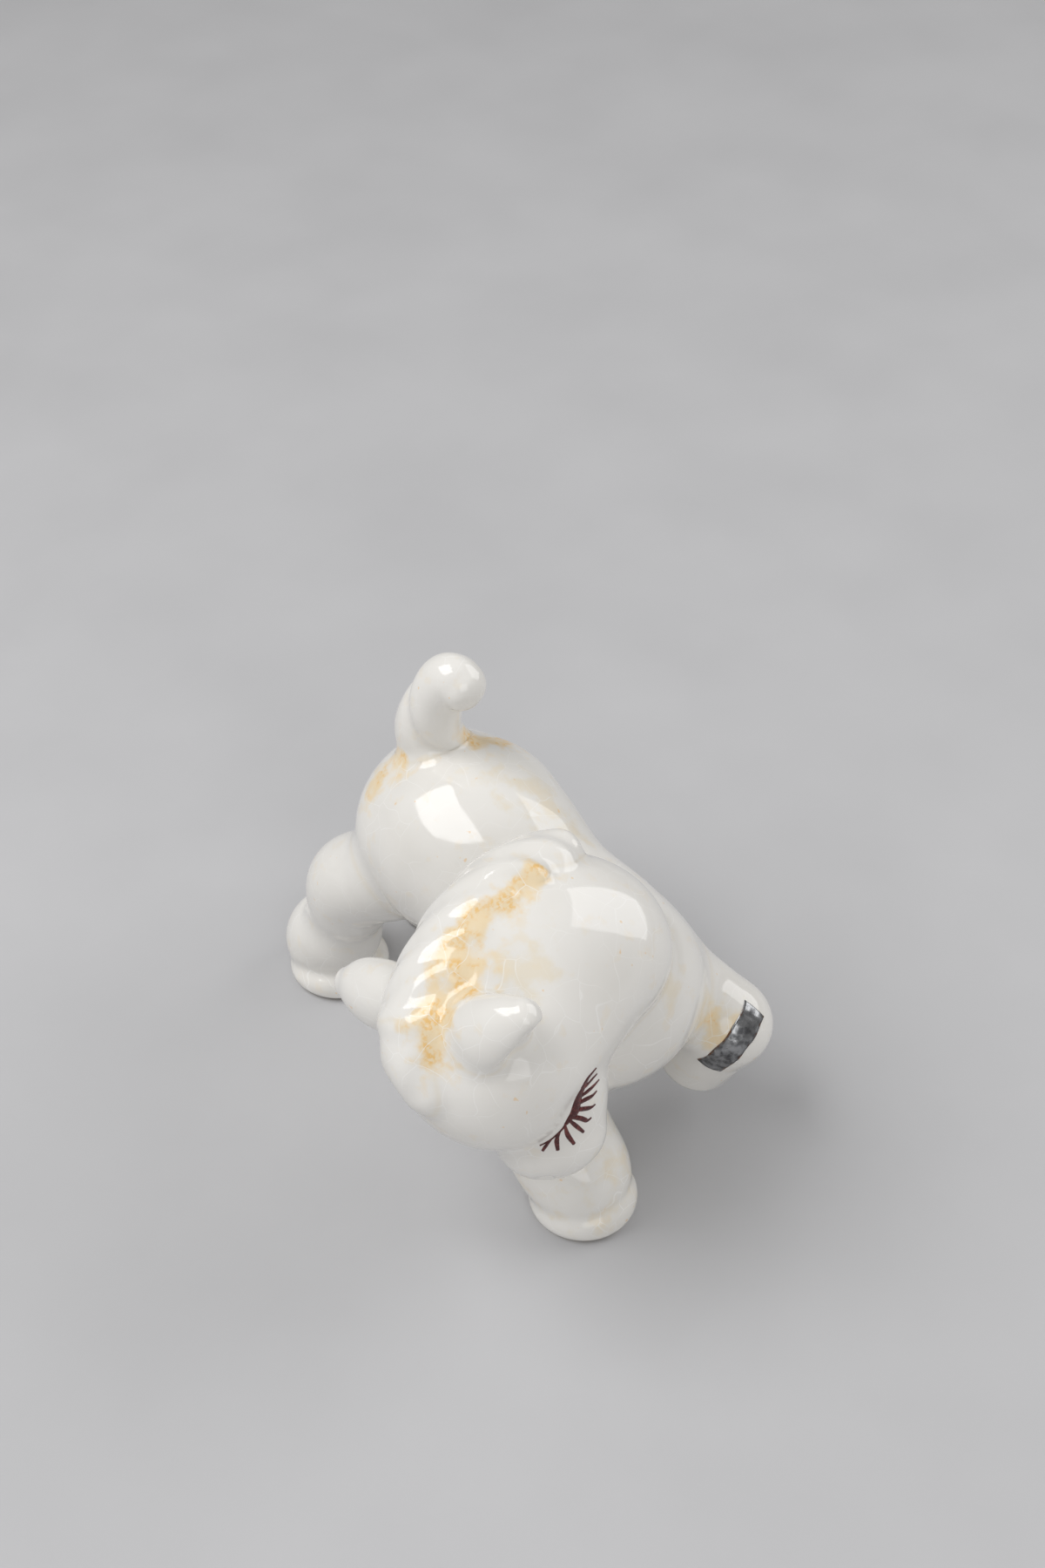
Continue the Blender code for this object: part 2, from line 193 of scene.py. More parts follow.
TRUNK = [
    disc(0.0, 0.0030, RUMP_HEIGHT - 0.0008, RUMP_RADIUS * 0.95),
    disc(0.0, -0.0040, RUMP_HEIGHT, RUMP_RADIUS),
    (0.0, -0.0130, RUMP_HEIGHT - 0.0012, RUMP_RADIUS * 0.93, RUMP_RADIUS * 0.94),
    disc(0.0, WAIST_Y, WAIST_HEIGHT, WAIST_RADIUS),
    disc(0.0, -0.0370, CHEST_HEIGHT + 0.0020, CHEST_RADIUS),
    disc(0.0, -0.0480, CHEST_HEIGHT, CHEST_RADIUS),
]
trunk_points, trunk_faces = out_of_mould(*clay_roll(TRUNK, SIDE, TRUNK_CAPS), TRUNK_GRAIN, 40)

VENT_RADIUS = 0.0022
VENT_STEPS = ((-0.0040, 1.0), (0.0, 1.0), (0.0070, 0.9))
belly = WAIST_HEIGHT - WAIST_RADIUS
bore = [disc(0.0, WAIST_Y, belly + rise, VENT_RADIUS * share) for rise, share in VENT_STEPS]
vent_drill = wet_clay("vent_drill", *clay_roll(bore, SIDE, ring=40, steps=3))
drilled = wet_clay("drilled_trunk", trunk_points, trunk_faces)
hole = drilled.modifiers.new("vent", "BOOLEAN")
hole.operation = "DIFFERENCE"
hole.solver = "EXACT"
hole.object = vent_drill
trunk_points, trunk_faces = mesh_parts(worked_mesh(drilled))
bpy.data.objects.remove(vent_drill)
stick_on("trunk", "body_casting", trunk_points, trunk_faces, TRUNK_SOFTNESS, TRUNK_GRAIN)

# Legs: thick hollow rolls with a groove above each hoof. Three stand on flat, wiped soles, and the fourth
# is lifted, its forearm reaching forward and its shank folded back under the knee.
STANCE = 0.0160
LEG_RADIUS = 0.0105
HOOF_RADIUS = 0.0118
HOOF_HEIGHT = 0.0052
KNEE_RADIUS = 0.0096
LEG_SOFTNESS = 0.0060
HOOF_SOFTNESS = 0.0012
KNEE_SOFTNESS = 0.0022
LEG_GRAIN = 0.00050
LEG_RING = 88
LEG_CAPS = (0.009, 0.002)
HOOF_CAPS = (0.0012, 0.0)
FOREARM_CAPS = (0.006, 0.0100)
SHANK_CAPS = (0.0088, 0.0)
SHARP_BELOW = 0.009
SMOOTH_ABOVE = 0.013
LAP = 0.45
CARRIER_LAP = 0.90
CARRIER_FLAT = 0.30
SEAM_REACH = 0.06
SEAM_DEPTH = 0.00010
SPONGE_STROKES = 8
STROKE_END = 2e-6
LEAST_STROKE_SLOPE = 0.08


def ease(share):
    """A share from 0 to 1 that starts and ends gently."""
    return share * share * (3.0 - 2.0 * share)


def skin_normals(points, faces):
    """Each point's outward way, from the faces round it."""
    normals = np.zeros_like(points)
    for size in {len(face) for face in faces}:
        rings = np.array([face for face in faces if len(face) == size])
        corner = points[rings]
        around = np.cross(corner, np.roll(corner, -1, axis=1)).sum(axis=1)
        for step in range(size):
            np.add.at(normals, rings[:, step], around)
    return normals / np.maximum(np.linalg.norm(normals, axis=1), 1e-12)[:, None]


def make_skin(points, faces):
    """A casting's skin, ready to be measured against."""
    tree = BVHTree.FromPolygons([tuple(p) for p in points], faces)
    return tree, points, faces, skin_normals(points, faces)


def skin_side(skin, point, smooth=False):
    """How far a point is outside a skin, and the way that leads out."""
    tree, points, faces, normals = skin
    place, normal, index, distance = tree.find_nearest(point)
    off = point - place
    outside = 1.0 if off.dot(normal) >= 0.0 else -1.0
    if smooth:
        face = list(faces[index])
        shares = poly_3d_calc([Vector(points[corner]) for corner in face], place)
        return outside * distance, Vector(np.array(shares) @ normals[face])
    if distance < 1e-7:
        return 0.0, normal
    return outside * distance, off * (outside / distance)


def joint_height(skins, softness, members, point, smooth=False):
    """How far a point is outside several skins drawn together with soft joints, and the way out."""
    height, way = skin_side(skins[members[0]], point, smooth)
    widest = softness[members[0]]
    for member in members[1:]:
        theirs, their_way = skin_side(skins[member], point, smooth)
        width = min(widest, softness[member])
        share = min(1.0, max(0.0, 0.5 + 0.5 * (theirs - height) / width))
        height = theirs + (height - theirs) * share - width * share * (1.0 - share)
        way = way * share + their_way * (1.0 - share)
        widest = max(widest, softness[member])
    return height, way


def meeting_skins(skins, softness, pairs, own, points):
    """For each point of one casting that lies near others, all the castings that meet there."""
    near = {}
    for other in range(len(skins)):
        if (own, other) in pairs or (other, own) in pairs:
            reach = min(softness[own], softness[other])
            tree, others = skins[other][:2]
            low, high = others.min(axis=0) - reach, others.max(axis=0) + reach
            for index in np.nonzero(np.all((points > low) & (points < high), axis=1))[0]:
                if tree.find_nearest(Vector(points[index]), reach)[0] is not None:
                    near.setdefault(index, [own]).append(other)
    return {index: sorted(members) for index, members in near.items()}


def draw_together(skins, softness, pairs, own):
    """Round one casting's joints, as a wet sponge rounds a line of slip.

    A point near another casting moves out to the rounded joint, and one that lies under the other casting
    dips below its skin. The casting that carries the other stays close under the seam for a while, so that
    no gap opens there. Gives the casting's new points.
    """
    points = skins[own][1]
    moved = points.copy()
    for index, members in meeting_skins(skins, softness, pairs, own, points).items():
        point = Vector(points[index])
        sunk = skim = 0.0
        for other in members:
            if other != own:
                under = -skin_side(skins[other], point)[0] / min(softness[own], softness[other])
                if own < other:
                    skim = max(skim, min(1.0, under / SEAM_REACH))
                    under = under - CARRIER_FLAT
                sunk = max(sunk, min(1.0, under / (CARRIER_LAP if own < other else LAP)))
        if sunk < 1.0:
            height, way = joint_height(skins, softness, members, point)
            level = height * ease(sunk) - SEAM_DEPTH * skim
            for _ in range(SPONGE_STROKES):
                if abs(level - height) < STROKE_END:
                    break
                point = point + way * ((level - height) / max(way.length_squared, LEAST_STROKE_SLOPE))
                height, way = joint_height(skins, softness, members, point)
            moved[index] = point
    return moved


def cast_as_one(forms, pairs, grain, rounds):
    """Points and faces of one casting made of several rounded forms: points, faces and softness of each."""
    skins = [make_skin(points, faces) for points, faces, _ in forms]
    softness = [form[2] for form in forms]
    points, faces = [], []
    for own, form in enumerate(forms):
        faces += [tuple(corner + len(points) for corner in face) for face in form[1]]
        points += [tuple(p) for p in draw_together(skins, softness, pairs, own)]
    return out_of_mould(points, faces, grain, rounds)


def standing_leg(name, node, stations, x, y, ankle_radius):
    """A leg that runs down into a hoof, wiped flat where it stands."""
    ankle = [disc(x, y + 0.0024, HOOF_HEIGHT + 0.0035, ankle_radius * 1.06),
             disc(x, y + 0.0009, HOOF_HEIGHT - 0.0010, ankle_radius * 0.98)]
    hoof = [disc(x, y + 0.0003, HOOF_HEIGHT * 0.82, HOOF_RADIUS * 0.93),
            disc(x, y, HOOF_HEIGHT * 0.52, HOOF_RADIUS),
            disc(x, y, HOOF_HEIGHT * 0.18, HOOF_RADIUS * 0.96),
            disc(x, y, -0.0012, HOOF_RADIUS * 0.76)]
    leg_form = (*clay_roll(stations + ankle, SIDE, LEG_CAPS, LEG_RING), HOOF_SOFTNESS)
    hoof_form = (*clay_roll(hoof, SIDE, HOOF_CAPS, LEG_RING, 10), HOOF_SOFTNESS)
    points, faces = cast_as_one((leg_form, hoof_form), {(0, 1)}, LEG_GRAIN, 5)
    damp = np.clip((points[:, 2] - SHARP_BELOW) / (SMOOTH_ABOVE - SHARP_BELOW), 0.0, 1.0)
    points = sponge(points, faces, 16, damp)
    points[:, 2] = np.maximum(points[:, 2], 0.0)
    stick_on(name, node, points, faces, LEG_SOFTNESS, LEG_GRAIN)


right_fore = [
    disc(-STANCE, -0.0380, 0.0450, LEG_RADIUS * 0.98),
    disc(-STANCE - 0.0009, -0.0474, 0.0270, LEG_RADIUS * 1.08),
    disc(-STANCE - 0.0011, -0.0538, 0.0150, LEG_RADIUS * 1.14),
]
standing_leg("right_fore", "right_foreleg", right_fore, -STANCE - 0.0005, -0.0612, LEG_RADIUS * 1.06)
for hind_name, sign in (("right_hind", -1.0), ("left_hind", 1.0)):
    hind = [
        disc(sign * (STANCE - 0.0030), 0.0100, 0.0420, LEG_RADIUS),
        disc(sign * (STANCE - 0.0010), 0.0185, 0.0350, LEG_RADIUS * 1.04),
        disc(sign * (STANCE - 0.0005), 0.0215, 0.0270, LEG_RADIUS * 0.95),
        disc(sign * STANCE, 0.0235, 0.0210, LEG_RADIUS * 0.83),
        disc(sign * STANCE, 0.0255, 0.0145, LEG_RADIUS * 0.96),
    ]
    standing_leg(hind_name, hind_name + "_leg", hind, sign * STANCE, 0.0270, LEG_RADIUS * 0.97)

FOREARM = [
    disc(0.0120, -0.0440, 0.0450, KNEE_RADIUS * 1.03),
    disc(0.0180, -0.0530, 0.0369, KNEE_RADIUS),
    disc(0.0233, -0.0617, 0.0292, KNEE_RADIUS),
]
SHANK = [
    disc(0.0233, -0.0613, 0.0288, KNEE_RADIUS * 0.99),
    disc(0.0226, -0.0580, 0.0210, KNEE_RADIUS * 0.98),
    disc(0.0218, -0.0542, 0.0132, KNEE_RADIUS * 0.98),
]
forearm_form = (*clay_roll(FOREARM, SIDE, FOREARM_CAPS, LEG_RING, 14), KNEE_SOFTNESS)
shank_form = (*clay_roll(SHANK, SIDE, SHANK_CAPS, LEG_RING, 14), KNEE_SOFTNESS)
lifted = cast_as_one((forearm_form, shank_form), {(0, 1)}, LEG_GRAIN, 6)
stick_on("left_fore", "left_foreleg", *lifted, LEG_SOFTNESS, LEG_GRAIN)

# Tail: a solid roll of the same clay, given a twist by hand so that two grooves wind round it. It is stuck
# upright on the rump with slip, and its tip nods forward.
TAIL_RADIUS = 0.0070
TAIL_FOOT = 0.0720
TAIL_RISE = 0.0270
TAIL_TWIST = -4.8
TAIL_CAPS = (0.003, 0.004)
TAIL_SOFTNESS = 0.0040
TAIL_RING = 80
GROOVE_DEPTH = 0.17
GROOVE_START = 5.5
GROOVE_WIDTH = 0.45
GROOVE_FADE = ((0.0, 0.15, 0.60, 0.80), (0.0, 1.0, 1.0, 0.0))
FINE_GRAIN = 0.00042


def tail_section(x, y, rise, twist, wide, deep):
    """A section of the tail, by its shares of the rise, the twist and the radius."""
    return x, y, TAIL_FOOT + rise * TAIL_RISE, TAIL_RADIUS * wide, TAIL_RADIUS * deep, twist * TAIL_TWIST


def carve(points, fade, around):
    """Draw a roll's skin in towards its middle, by shares round it that fade along it."""
    rings = points.reshape(-1, len(around), 3)
    middle = rings.mean(axis=1, keepdims=True)
    along = np.interp(np.linspace(0.0, 1.0, len(rings)), *fade)
    return (middle + (rings - middle) * (1.0 - np.outer(along, around))[:, :, None]).reshape(-1, 3)


def stick_roll(name, node, points, faces, wipes, softness):
    """Sponge a roll, give it an even skin and stick it on."""
    points = sponge(points, faces, wipes[0])
    points, faces = out_of_mould(points, faces, FINE_GRAIN, wipes[1])
    stick_on(name, node, points, faces, softness, FINE_GRAIN)


TAIL = [
    tail_section(0.0005, 0.0070, 0.00, 0.00, 1.05, 1.00),
    tail_section(-0.0012, 0.0080, 0.33, 0.33, 1.10, 1.00),
    tail_section(-0.0004, 0.0052, 0.68, 0.68, 1.00, 0.92),
    tail_section(0.0004, 0.0014, 0.92, 0.92, 0.90, 0.84),
    tail_section(0.0008, -0.0022, 0.91, 1.05, 0.74, 0.72),
]
tail_points, tail_faces = clay_roll(TAIL, SIDE, TAIL_CAPS, TAIL_RING, 16)
turn = full_turn(TAIL_RING)
groove = np.exp(-(np.sin(turn - GROOVE_START) / GROOVE_WIDTH) ** 2)
tail_points = carve(tail_points, GROOVE_FADE, GROOVE_DEPTH * groove)
stick_roll("tail_curl", "tail", tail_points, tail_faces, (4, 10), TAIL_SOFTNESS)

# Head and neck: one hollow casting, turned to the foal's right. A big domed skull runs back into the neck
# and overhangs a short muzzle; that edge is the closed lid of each eye.
HEAD_ROLL = math.radians(32.0)
HEAD_ORIGIN = np.array((-0.0024, -0.0510, 0.0646))
RIGHT = np.array((-1.0, 0.0, 0.0))
HEAD_LEFT = np.array((0.0, -math.cos(HEAD_ROLL), math.sin(HEAD_ROLL)))
HEAD_UP = np.array((0.0, math.sin(HEAD_ROLL), math.cos(HEAD_ROLL)))
HEAD_AXES = (HEAD_LEFT, HEAD_UP, RIGHT)
SKULL_RADIUS = 0.0212
NECK_RADII = (0.0175, 0.0203, 0.0290)
NAPE_RADIUS = 0.0140
MUZZLE_RADIUS = 0.0115
MUZZLE_TIP = (0.0280, -0.0290)
MUZZLE_CAPS = (0.006, 0.009)
DOME_SOFTNESS = 0.0060
LID_SOFTNESS = 0.0008
HEAD_SOFTNESS = 0.0030
HEAD_WIPES = 50


def head_point(right, up, left=0.0):
    """A place in the head's own axes, before the figure's shift."""
    return HEAD_ORIGIN + RIGHT * right + HEAD_UP * up + HEAD_LEFT * left


def head_station(right, up, wide, deep, left=0.0):
    """A section of a roll in the head's own axes."""
    return (*head_point(right, up, left), wide, deep)


def stretched_dome(balls, segments=112, rings=64):
    """Points and faces of a skin stretched over ellipsoids on the head's axes."""
    bm = bmesh.new()
    for centre, radii in balls:
        for tilt in np.linspace(0.0, math.pi, rings):
            around = segments if 0.0 < tilt < math.pi - 1e-6 else 1
            for turn in full_turn(around):
                ways = (math.sin(tilt) * math.cos(turn), math.sin(tilt) * math.sin(turn), math.cos(tilt))
                place = centre + FIGURE_SHIFT
                for axis, radius, share in zip(HEAD_AXES, radii, ways):
                    place = place + axis * radius * share
                bm.verts.new(place)
    skin = bmesh.ops.convex_hull(bm, input=bm.verts)
    inside = [part for part in skin["geom_interior"] if isinstance(part, bmesh.types.BMVert)]
    bmesh.ops.delete(bm, geom=inside, context="VERTS")
    bmesh.ops.recalc_face_normals(bm, faces=bm.faces)
    bm.verts.index_update()
    points = np.array([v.co for v in bm.verts])
    faces = [tuple(v.index for v in face.verts) for face in bm.faces]
    bm.free()
    return points, faces


SKULL_BALL = (head_point(0.0322, -0.0060), (SKULL_RADIUS, SKULL_RADIUS, SKULL_RADIUS * 0.95))
NECK_BALL = (head_point(0.0190, 0.0035), NECK_RADII)
NAPE_BALLS = (
    (head_point(0.0150, 0.0035), (0.0155, 0.0180, 0.0190)),
    (head_point(0.0042, -0.0012, 0.0025), (NAPE_RADIUS, NAPE_RADIUS, NAPE_RADIUS)),
)
MUZZLE = [
    head_station(0.0260, -0.0080, MUZZLE_RADIUS * 1.48, MUZZLE_RADIUS * 1.48),
    head_station(0.0270, -0.0200, MUZZLE_RADIUS * 1.26, MUZZLE_RADIUS * 1.22),
    head_station(*MUZZLE_TIP, MUZZLE_RADIUS, MUZZLE_RADIUS),
]
TEMPLE_PLACE = (0.0292, -0.0192, 0.0160)
TEMPLE_RADIUS = 0.0055
TEMPLE_DEPTH = 0.0013


def thumb_marks(points, place, radius, depth):
    """How far each point is pressed in, round the same place on both sides of the head."""
    right, up, left = place
    dent = np.zeros(len(points))
    for sign in (1, -1):
        gap = np.linalg.norm(points - head_point(right, up, sign * left) - FIGURE_SHIFT, axis=1)
        dent += depth * np.exp(-(gap / radius) ** 2)
    return dent


skull_points, skull_faces = stretched_dome((SKULL_BALL, NECK_BALL))
temples = thumb_marks(skull_points, TEMPLE_PLACE, TEMPLE_RADIUS, TEMPLE_DEPTH)
skull_points = skull_points - skin_normals(skull_points, skull_faces) * temples[:, None]
head_forms = (
    (skull_points, skull_faces, DOME_SOFTNESS),
    (*stretched_dome(NAPE_BALLS), DOME_SOFTNESS),
    (*clay_roll(MUZZLE, HEAD_LEFT, MUZZLE_CAPS, steps=14), LID_SOFTNESS),
)
head_points, head_faces = cast_as_one(head_forms, {(0, 1), (0, 2), (1, 2)}, FINE_GRAIN, 4)
LID_LINE = ((0.0365, -0.0262, 0.0080), (0.0339, -0.0247, 0.0109), (0.0309, -0.0231, 0.0129),
            (0.0287, -0.0210, 0.0145), (0.0269, -0.0175, 0.0163), (0.0237, -0.0142, 0.0173))
LID_REACH = 0.0045
LID_KEPT = 0.6
lid_places = [head_point(right, up, sign * left) + FIGURE_SHIFT
              for right, up, left in LID_LINE for sign in (1, -1)]
lid_gap = np.min([np.linalg.norm(head_points - place, axis=1) for place in lid_places], axis=0)
damp = np.clip(lid_gap / LID_REACH - LID_KEPT, 0.0, 1.0)
head_points = sponge(head_points, head_faces, HEAD_WIPES, damp)

NOSTRIL_PLACE = (0.0352, -0.0353, 0.0046)
NOSTRIL_RADIUS = 0.0016
NOSTRIL_DEPTH = 0.0013
MOUTH_TURN = math.radians(-62.0)
MOUTH_WIDTH = 0.0085
MOUTH_LINE = 0.00050
MOUTH_DEPTH = 0.00045
MOUTH_CURVE = 0.3
MOUTH_FADE = 1.5
MOUTH_START = 0.004


def press_face(points, faces):
    """Press the nostrils in and cut the mouth, once the castings hold together."""
    dent = thumb_marks(points, NOSTRIL_PLACE, NOSTRIL_RADIUS, NOSTRIL_DEPTH)
    snout = points - head_point(*MUZZLE_TIP) - FIGURE_SHIFT
    forward, rise, aside = snout @ RIGHT, snout @ HEAD_UP, snout @ HEAD_LEFT
    along = forward * math.cos(MOUTH_TURN) + rise * math.sin(MOUTH_TURN)
    off_line = rise * math.cos(MOUTH_TURN) - forward * math.sin(MOUTH_TURN)
    off_line = off_line - MOUTH_CURVE * aside ** 2 / MUZZLE_RADIUS
    smile = np.clip(MOUTH_FADE - MOUTH_FADE * np.abs(aside) / MOUTH_WIDTH, 0.0, 1.0)
    smile = smile * (along > MOUTH_START)
    dent += MOUTH_DEPTH * smile * np.exp(-(off_line / MOUTH_LINE) ** 2)
    return points - skin_normals(points, faces) * dent[:, None]


stick_on("head_and_neck", "head_neck_casting", head_points, head_faces, HEAD_SOFTNESS, FINE_GRAIN)

# Mane: a strip of soft clay pressed along the crest from withers to poll, and bent over it. Its edges are
# thumbed into a row of slanting, uneven locks, which the sponge leaves soft.
CREST = ((0.0032, 0.0214), (0.0100, 0.0234), (0.0180, 0.0238), (0.0270, 0.0217),
         (0.0350, 0.0180), (0.0422, 0.0135), (0.0475, 0.0085))
MANE_WIDTH = 0.0088
MANE_HEIGHT = 0.0042
MANE_SAG = 0.0017
MANE_RING = 88
MANE_CAPS = (0.003, 0.004)
MANE_SOFTNESS = 0.0028
MANE_START = 0.74
MANE_GROWTH = 0.10
LOCK_SLANT = 1.2
LOCK_VALLEYS = (-0.012, 0.000, 0.0092, 0.0200, 0.0300, 0.0385, 0.0470, 0.0555, 0.0650, 0.0750)
LOCK_SIZES = (1.5, 1.5, 1.0, 1.3, 0.8, 1.1, 0.8, 1.0, 0.7, 0.7)
LOCK_RELIEF = 0.0017
LOCK_MIDDLE = 0.25
LOCK_LEVEL = 0.55


def press_on(points, faces, relief):
    """Bend a strip of clay over the rounded crest, and thumb soft, uneven locks into its edges."""
    rings = points.reshape(-1, MANE_RING, 3)
    middles = rings.mean(axis=1)
    steps = np.linalg.norm(np.diff(middles, axis=0), axis=1)
    reach = np.repeat(np.concatenate([[0.0], np.cumsum(steps)]), MANE_RING)
    aside = (points - HEAD_ORIGIN - FIGURE_SHIFT) @ HEAD_LEFT / MANE_WIDTH
    lock = np.interp(reach + LOCK_SLANT * MANE_WIDTH * aside, LOCK_VALLEYS, np.arange(len(LOCK_VALLEYS)))
    edge = LOCK_MIDDLE + (1.0 - LOCK_MIDDLE) * np.clip(aside ** 2, 0.0, 1.0)
    size = np.interp(lock, np.arange(len(LOCK_SIZES)) + 0.5, LOCK_SIZES) * edge
    swell = relief * size * (np.sin(math.pi * lock) ** 2 - LOCK_LEVEL)
    over = rings[:, MANE_RING // 4] - middles
    over = np.repeat(over / np.linalg.norm(over, axis=1)[:, None], MANE_RING, axis=0)
    return points + skin_normals(points, faces) * swell[:, None] - over * (MANE_SAG * aside ** 2)[:, None]


mane_stations = []
for index, (right, up) in enumerate(smooth_rows(CREST, 2)):
    width = MANE_WIDTH * min(1.0, MANE_START + MANE_GROWTH * index)
    mane_stations.append(head_station(right, up, width, MANE_HEIGHT))
mane_points, mane_faces = clay_roll(mane_stations, HEAD_LEFT, MANE_CAPS, MANE_RING, 10)
mane_points = press_on(mane_points, mane_faces, LOCK_RELIEF)
stick_roll("mane", "mane_strip", mane_points, mane_faces, (8, 10), MANE_SOFTNESS)

# Forelock: the last lock of the mane, a short strip of clay of its own. It is brought forward between the
# ears and pressed down on the brow.
FORELOCK_CAPS = (0.002, 0.004)
FORELOCK_RELIEF = 0.4 * LOCK_RELIEF
FORELOCK_SOFTNESS = 0.0034
FORELOCK = [
    head_station(0.0484, 0.0074, MANE_WIDTH, MANE_HEIGHT),
    head_station(0.0512, 0.0004, MANE_WIDTH * 0.92, MANE_HEIGHT * 0.95, 0.0008),
    head_station(0.0511, -0.0059, MANE_WIDTH * 0.66, MANE_HEIGHT * 0.80, 0.0024),
]
lock_points, lock_faces = clay_roll(FORELOCK, HEAD_LEFT, FORELOCK_CAPS, MANE_RING, 14)
lock_points = press_on(lock_points, lock_faces, FORELOCK_RELIEF)
stick_roll("brow_lock", "forelock", lock_points, lock_faces, (8, 10), FORELOCK_SOFTNESS)

# Ears: two leaves of clay that stand out sideways from the poll, each scooped in front and ending in a blunt
# tip. They are modelled by hand, so they differ a little, and are stuck on beside the mane.
EAR_RING = 72
EAR_ROOT = 0.0100
EAR_CAPS = (0.002, 0.0022)
EAR_SOFTNESS = 0.0030
EAR_SCOOP = 0.55
SCOOP_TURN = 0.95
SCOOP_FADE = ((0.30, 0.50, 0.78, 0.93), (0.0, 1.0, 1.0, 0.0))
# From root to tip: share of the lean, rise, width, depth and share of the reach.
EAR_SECTIONS = ((0.0, 0.0, 0.0070, 0.0058, 0.0), (0.2, 0.0015, 0.0080, 0.0064, 0.4),
                (0.7, 0.0037, 0.0061, 0.0050, 0.8), (1.2, 0.0052, 0.0037, 0.0032, 1.1))
# Each ear: piece, node, side, place to the right and up, lean, reach, lift, plumpness and tip.
EARS = (("left_leaf_ear", "left_ear", 1.0, 0.0412, 0.0020, -0.0035, 0.0153, 1.0, 1.0, 1.0),
        ("right_leaf_ear", "right_ear", -1.0, 0.0415, 0.0056, 0.0020, 0.0168, 0.75, 1.10, 0.95))
for ear_name, ear_node, sign, right, up, lean, reach, lift, plump, tip in EARS:
    ear_stations = [
        head_station(right + bend * lean, up + rise * lift, wide * fat, deep * fat,
                     sign * (EAR_ROOT + share * reach))
        for (bend, rise, wide, deep, share), fat in zip(EAR_SECTIONS, (1.0, 1.0, plump, tip))
    ]
    ear_points, ear_faces = clay_roll(ear_stations, HEAD_UP, EAR_CAPS, EAR_RING, 14)
    turn = full_turn(EAR_RING)
    hollow = ease(np.clip(1.0 - np.abs(turn - math.pi) / SCOOP_TURN, 0.0, 1.0))
    ear_points = carve(ear_points, SCOOP_FADE, EAR_SCOOP * hollow)
    stick_roll(ear_name, ear_node, ear_points, ear_faces, (6, 8), EAR_SOFTNESS)

# Slip joints: liquid clay holds each casting on, and is sponged to a soft fillet before the first firing.
# Nostrils and mouth are pressed in at the same stage, and the soles wiped flat.
JOINTS = {
    "body_casting": ("right_foreleg", "left_foreleg", "right_hind_leg", "left_hind_leg", "tail",
                     "head_neck_casting", "mane_strip"),
    "head_neck_casting": ("mane_strip", "forelock", "left_ear", "right_ear", "left_foreleg"),
    "mane_strip": ("forelock", "left_ear", "right_ear"),
    "forelock": ("left_ear", "right_ear"),
}
ON_JOINT = 0.00005
NEAR_JOINT = 0.00040
LEAST_SNAP_SLOPE = 0.2
FULL_FILLET = 0.25


def casting_skin(node):
    """The skin of a casting as it stands."""
    return make_skin(*mesh_parts(castings[node][0].data))


def mark_points(mesh, name, values):
    """Keep a number for each point of a mesh."""
    mark = mesh.attributes.new(name, "FLOAT", "POINT")
    mark.data.foreach_set("value", values.astype(np.float32))


names = list(castings)
pairs = {(names.index(carrier), names.index(other))
         for carrier, others in JOINTS.items() for other in others}
softness = [castings[name][1] for name in names]
skins = [casting_skin(name) for name in names]
for own, name in enumerate(names):
    piece, _, grain = castings[name]
    points, faces = out_of_mould(draw_together(skins, softness, pairs, own), skins[own][2], grain, 2)
    if name == "head_neck_casting":
        points = press_face(points, faces)
    points[:, 2] = np.maximum(points[:, 2], 0.0)
    fillet = np.zeros(len(points))
    ways = {}
    for index, members in meeting_skins(skins, softness, pairs, own, points).items():
        point = Vector(points[index])
        height, way = joint_height(skins, softness, members, point)
        if height > -ON_JOINT:
            points[index] = point - way * (height / max(way.length_squared, LEAST_SNAP_SLOPE))
        if height > -NEAR_JOINT:
            lowest = min(skin_side(skins[member], point)[0] for member in members)
            softest = min(softness[member] for member in members)
            fillet[index] = (lowest - height) / (FULL_FILLET * softest)
            ways[index] = joint_height(skins, softness, members, point, True)[1].normalized()
    piece.data.clear_geometry()
    piece.data.from_pydata([tuple(p) for p in points], [], faces)
    piece.data.shade_smooth()
    outward = np.array([v.vector for v in piece.data.vertex_normals])
    for index, way in ways.items():
        outward[index] = way
    piece.data.normals_split_custom_set_from_vertices(outward.tolist())
    mark_points(piece.data, "joint", np.clip(fillet, 0.0, 1.0))

# Glaze: a thick clear coat over white clay, crazed with fine cracks. Ochre has seeped in along the valley
# beside the mane and round the tail, and cream in the slip joints. The soles are wiped back to bare clay.
GLAZE_WHITE = (0.790, 0.772, 0.736, 1.0)
GLAZE_SHADE = (0.755, 0.735, 0.695, 1.0)
CRACK_WHITE = (0.860, 0.850, 0.825, 1.0)
SEEP_CREAM = (0.760, 0.690, 0.560, 1.0)
OCHRE_WASH = (0.800, 0.640, 0.400, 1.0)
OCHRE_SPOT = (0.790, 0.470, 0.130, 1.0)
BARE_CLAY = (0.640, 0.560, 0.450, 1.0)
CRACK_CELL = 0.0070
CRACK_WIDTH = 0.00012
CRACK_BENDS = 120.0
CRACK_DRIFT = 0.0045
CRACK_PATCH = 0.014
SEEP_CLOUD = 0.0042
SEEP_GRAIN = 0.0009
SEEP_PATCH = 0.0050
GLAZE_CLOUD = 0.016
GLAZE_LUMP = 0.010
GLOSS_CLOUD = 0.006
GLOSS_RANGE = (0.05, 0.11)
SPECK_SIZE = 0.0019
CLAY_GRAIN = 0.0006
CLAY_ROUGHNESS = 0.7
SOLE_EDGE = (0.0003, 0.0008)
